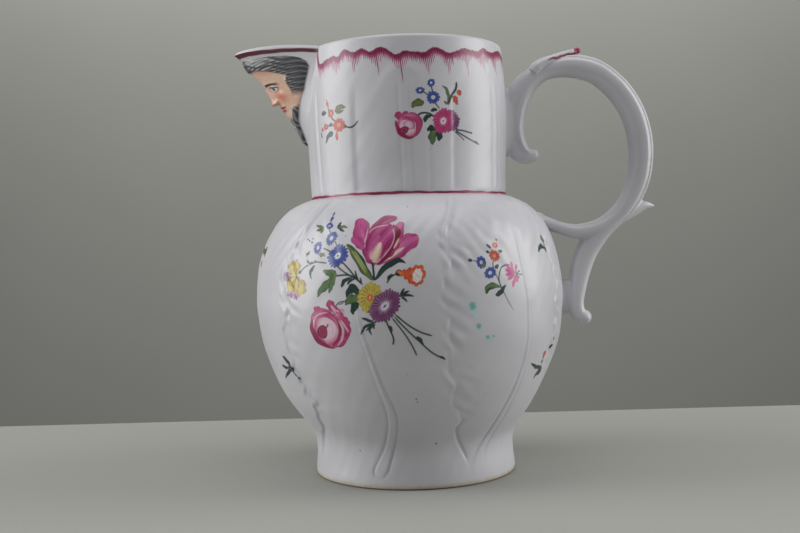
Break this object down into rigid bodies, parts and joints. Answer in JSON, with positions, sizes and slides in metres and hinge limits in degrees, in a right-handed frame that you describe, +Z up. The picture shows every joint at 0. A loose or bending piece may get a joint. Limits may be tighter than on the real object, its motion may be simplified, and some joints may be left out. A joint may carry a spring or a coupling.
{
  "type": "mask jug",
  "caption": "Porcelain pouring jug with a leaf-moulded belly, panelled cylindrical neck, beak spout with a bearded mask under the lip, and a double-scroll handle.",
  "frame": {"origin": "centre of the flat foot, on the surface the jug stands on", "axes": "+Z up along the jug's axis, -X out of the spout, +X towards the handle, -Y towards the viewer of the picture"},
  "size_m": [0.2389, 0.175, 0.2429],
  "materials": {
    "glaze": "glossy greyish white porcelain glaze",
    "unglazed": "matt unglazed buff body",
    "flesh_enamel": "flesh-coloured overglaze enamel",
    "rose_enamel": "white glaze touched with crimson enamel"
  },
  "bodies": {
    "root": {"base_slab": "unglazed", "belly_near_half": "glaze", "belly_far_half": "glaze", "neck_collar": "glaze", "spout_beak": "glaze", "bearded_mask": "flesh_enamel", "handle_loop": "glaze", "lower_scroll": "glaze", "belly_pad": "glaze", "thumb_leaf": "rose_enamel", "handle_spur": "glaze"}
  },
  "joints": []
}
